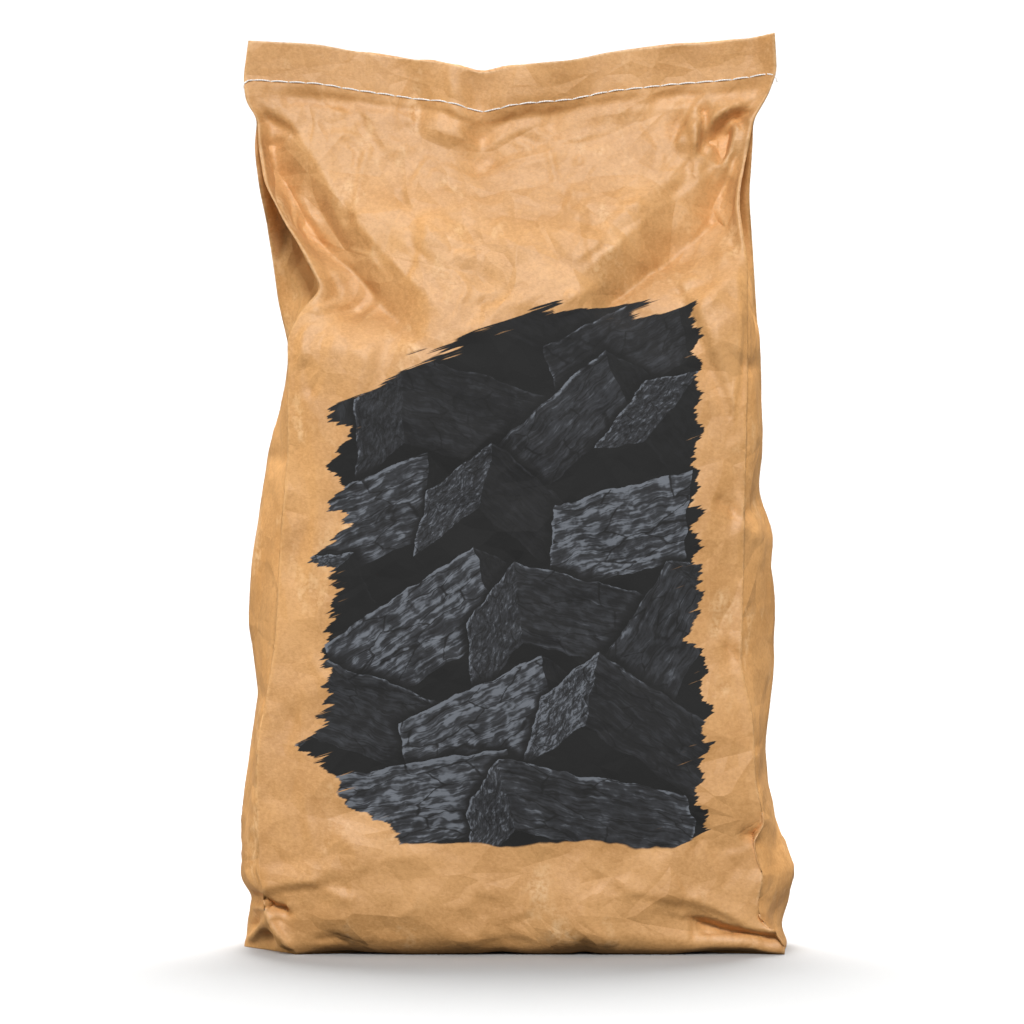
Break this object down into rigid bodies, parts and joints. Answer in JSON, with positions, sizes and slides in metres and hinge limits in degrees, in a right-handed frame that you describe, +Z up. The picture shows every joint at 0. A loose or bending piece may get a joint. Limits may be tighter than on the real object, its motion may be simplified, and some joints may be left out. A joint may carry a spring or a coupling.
{
  "type": "filled paper charcoal sack",
  "caption": "Filled kraft paper sack of lump charcoal with side gussets, a sewn top and a printed front, standing on its folded base.",
  "frame": {"origin": "middle of the box at the level of the base, on the surface that the sack stands on", "axes": "+Z up the sack to its sewn mouth, +X to the right as seen from the printed front, front towards -Y"},
  "size_m": [0.2852, 0.124, 0.4747],
  "materials": {
    "kraft_paper": "creased brown kraft paper, satin",
    "white_thread": "twisted white sewing thread",
    "charcoal": "matt charred wood"
  },
  "bodies": {
    "root": {"paper_sack": "kraft_paper", "closing_thread": "white_thread", "charcoal_lump_01": "charcoal", "charcoal_lump_02": "charcoal", "charcoal_lump_03": "charcoal", "charcoal_lump_04": "charcoal", "charcoal_lump_05": "charcoal", "charcoal_lump_06": "charcoal", "charcoal_lump_07": "charcoal", "charcoal_lump_08": "charcoal", "charcoal_lump_09": "charcoal", "charcoal_lump_10": "charcoal", "charcoal_lump_11": "charcoal", "charcoal_lump_12": "charcoal", "charcoal_lump_13": "charcoal", "charcoal_lump_14": "charcoal", "charcoal_lump_15": "charcoal", "charcoal_lump_16": "charcoal", "charcoal_lump_17": "charcoal", "charcoal_lump_18": "charcoal", "charcoal_lump_19": "charcoal", "charcoal_lump_20": "charcoal", "charcoal_lump_21": "charcoal", "charcoal_lump_22": "charcoal", "charcoal_lump_23": "charcoal", "charcoal_lump_24": "charcoal", "charcoal_lump_25": "charcoal", "charcoal_lump_26": "charcoal", "charcoal_lump_27": "charcoal", "charcoal_lump_28": "charcoal", "charcoal_lump_29": "charcoal", "charcoal_lump_30": "charcoal", "charcoal_lump_31": "charcoal", "charcoal_lump_32": "charcoal", "charcoal_lump_33": "charcoal", "charcoal_lump_34": "charcoal", "charcoal_lump_35": "charcoal", "charcoal_lump_36": "charcoal", "charcoal_lump_37": "charcoal", "charcoal_lump_38": "charcoal", "charcoal_lump_39": "charcoal", "charcoal_lump_40": "charcoal"}
  },
  "joints": []
}
